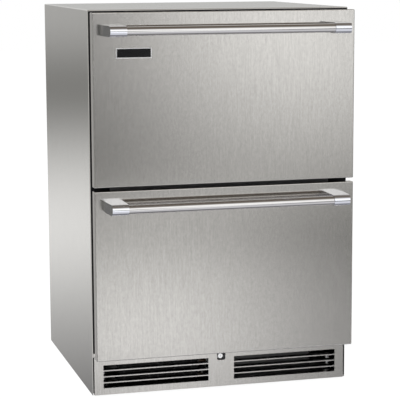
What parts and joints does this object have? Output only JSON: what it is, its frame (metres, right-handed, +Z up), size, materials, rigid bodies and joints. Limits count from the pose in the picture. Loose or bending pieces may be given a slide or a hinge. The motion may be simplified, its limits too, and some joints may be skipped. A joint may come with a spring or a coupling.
{
  "type": "drawer freezer",
  "caption": "Undercounter freezer with stacked stainless drawers on telescopic slides, tubular handles, a louvred toe grille with a key lock, and its refrigeration parts inside.",
  "frame": {"origin": "on the floor, under the middle of the box that holds the cabinet, the handles and the rear cover", "axes": "+X to the right seen from the front, +Y from the front to the back, +Z up"},
  "size_m": [0.606, 0.671, 0.874],
  "materials": {
    "stainless_brushed": "brushed stainless sheet with a vertical grain",
    "liner_steel": "fine-brushed stainless sheet",
    "handle_steel": "satin stainless tube",
    "bracket_chrome": "polished chrome",
    "lock_chrome": "polished chrome",
    "plate_black": "black enamel field in a bright rim",
    "gasket_black": "matte black",
    "panel_dark": "matte moulded plastic",
    "mullion_gray": "satin gray paint",
    "foam": "rigid insulating foam",
    "galvanised": "galvanised sheet",
    "slide_zinc": "bright zinc plate",
    "fastener_steel": "zinc-plated steel",
    "leg_steel": "zinc-plated steel",
    "compressor_paint": "semi-gloss black paint",
    "grommet_rubber": "matte black",
    "coil_metal": "mill-finish fins on tube",
    "copper": "bare copper",
    "fan_plastic": "moulded plastic",
    "motor_steel": "steel can",
    "pan_plastic": "moulded plastic",
    "lamp_diffuser": "frosted diffuser"
  },
  "bodies": {
    "cabinet": {"back_panel": "galvanised", "base_pan": "compressor_paint", "cabinet_liner": "liner_steel", "cabinet_wrapper": "stainless_brushed", "center_mullion": "mullion_gray", "compressor": "compressor_paint", "compressor_grommets": "grommet_rubber", "condenser_coil": "compressor_paint", "condenser_fan_motor": "motor_steel", "condenser_fan_shroud": "galvanised", "control_box": "compressor_paint", "cover_screws": "fastener_steel", "display_module": "pan_plastic", "drain_tube": "pan_plastic", "evaporation_pan": "pan_plastic", "evaporator_coil": "coil_metal", "evaporator_cover": "liner_steel", "evaporator_fan_motor": "motor_steel", "face_frame": "panel_dark", "filter_drier": "copper", "foam_insulation": "foam", "light_strips": "lamp_diffuser", "lock_keeper": "galvanised", "lower_slide_channels": "slide_zinc", "machine_cover_rear": "galvanised", "machine_deck": "galvanised", "power_inlet": "pan_plastic", "refrigerant_lines": "copper", "toe_grille": "stainless_brushed", "upper_slide_channels": "slide_zinc"},
    "upper_drawer": {"upper_front_skin": "stainless_brushed", "upper_front_panel": "panel_dark", "upper_gasket": "gasket_black", "upper_handle_bar": "handle_steel", "upper_handle_bracket_left": "bracket_chrome", "upper_handle_bracket_right": "bracket_chrome", "upper_handle_screws": "fastener_steel", "upper_bin": "liner_steel", "upper_slide_rails": "slide_zinc", "name_plate": "plate_black"},
    "lower_drawer": {"lower_front_skin": "stainless_brushed", "lower_front_panel": "panel_dark", "lower_gasket": "gasket_black", "lower_handle_bar": "handle_steel", "lower_handle_bracket_left": "bracket_chrome", "lower_handle_bracket_right": "bracket_chrome", "lower_handle_screws": "fastener_steel", "lower_bin": "liner_steel", "lower_slide_rails": "slide_zinc", "lock_bracket": "galvanised"},
    "upper_slide_middle": {"upper_slide_intermediates": "slide_zinc"},
    "lower_slide_middle": {"lower_slide_intermediates": "slide_zinc"},
    "lock": {"lock_cylinder": "lock_chrome", "lock_cam": "fastener_steel"},
    "condenser_fan_wheel": {"condenser_fan": "fan_plastic"},
    "evaporator_fan_wheel": {"evaporator_fan": "fan_plastic"},
    "leg_front_left": {"leveling_leg_front_left": "leg_steel"},
    "leg_front_right": {"leveling_leg_front_right": "leg_steel"},
    "leg_rear_left": {"leveling_leg_rear_left": "leg_steel"},
    "leg_rear_right": {"leveling_leg_rear_right": "leg_steel"}
  },
  "joints": [
    {"name": "upper_drawer_slide", "type": "slide", "parent": "cabinet", "child": "upper_drawer", "axis": [0, -1, 0], "range_m": [0, 0.43]},
    {"name": "lower_drawer_slide", "type": "slide", "parent": "cabinet", "child": "lower_drawer", "axis": [0, -1, 0], "range_m": [0, 0.31]},
    {"name": "upper_middle_slide", "type": "slide", "parent": "cabinet", "child": "upper_slide_middle", "axis": [0, -1, 0], "range_m": [0, 0.215]},
    {"name": "lower_middle_slide", "type": "slide", "parent": "cabinet", "child": "lower_slide_middle", "axis": [0, -1, 0], "range_m": [0, 0.155]},
    {"name": "lock_turn", "type": "hinge", "parent": "lower_drawer", "child": "lock", "pos_m": [0, -0.2195, 0.074], "axis": [0, 1, 0], "range_deg": [0, 90]},
    {"name": "condenser_fan_spin", "type": "hinge", "parent": "cabinet", "child": "condenser_fan_wheel", "pos_m": [-0.15, 0.17645, 0.1085], "axis": [0, 1, 0], "continuous": true},
    {"name": "evaporator_fan_spin", "type": "hinge", "parent": "cabinet", "child": "evaporator_fan_wheel", "pos_m": [0, 0.13902, 0.416], "axis": [0, 1, 0], "continuous": true},
    {"name": "leg_front_left_extend", "type": "slide", "parent": "cabinet", "child": "leg_front_left", "axis": [0, 0, -1], "range_m": [0, 0.025]},
    {"name": "leg_front_right_extend", "type": "slide", "parent": "cabinet", "child": "leg_front_right", "axis": [0, 0, -1], "range_m": [0, 0.025]},
    {"name": "leg_rear_left_extend", "type": "slide", "parent": "cabinet", "child": "leg_rear_left", "axis": [0, 0, -1], "range_m": [0, 0.025]},
    {"name": "leg_rear_right_extend", "type": "slide", "parent": "cabinet", "child": "leg_rear_right", "axis": [0, 0, -1], "range_m": [0, 0.025]}
  ],
  "couplings": [
    {"joint": "upper_middle_slide", "follows": "upper_drawer_slide", "ratio": 0.5},
    {"joint": "lower_middle_slide", "follows": "lower_drawer_slide", "ratio": 0.5}
  ]
}
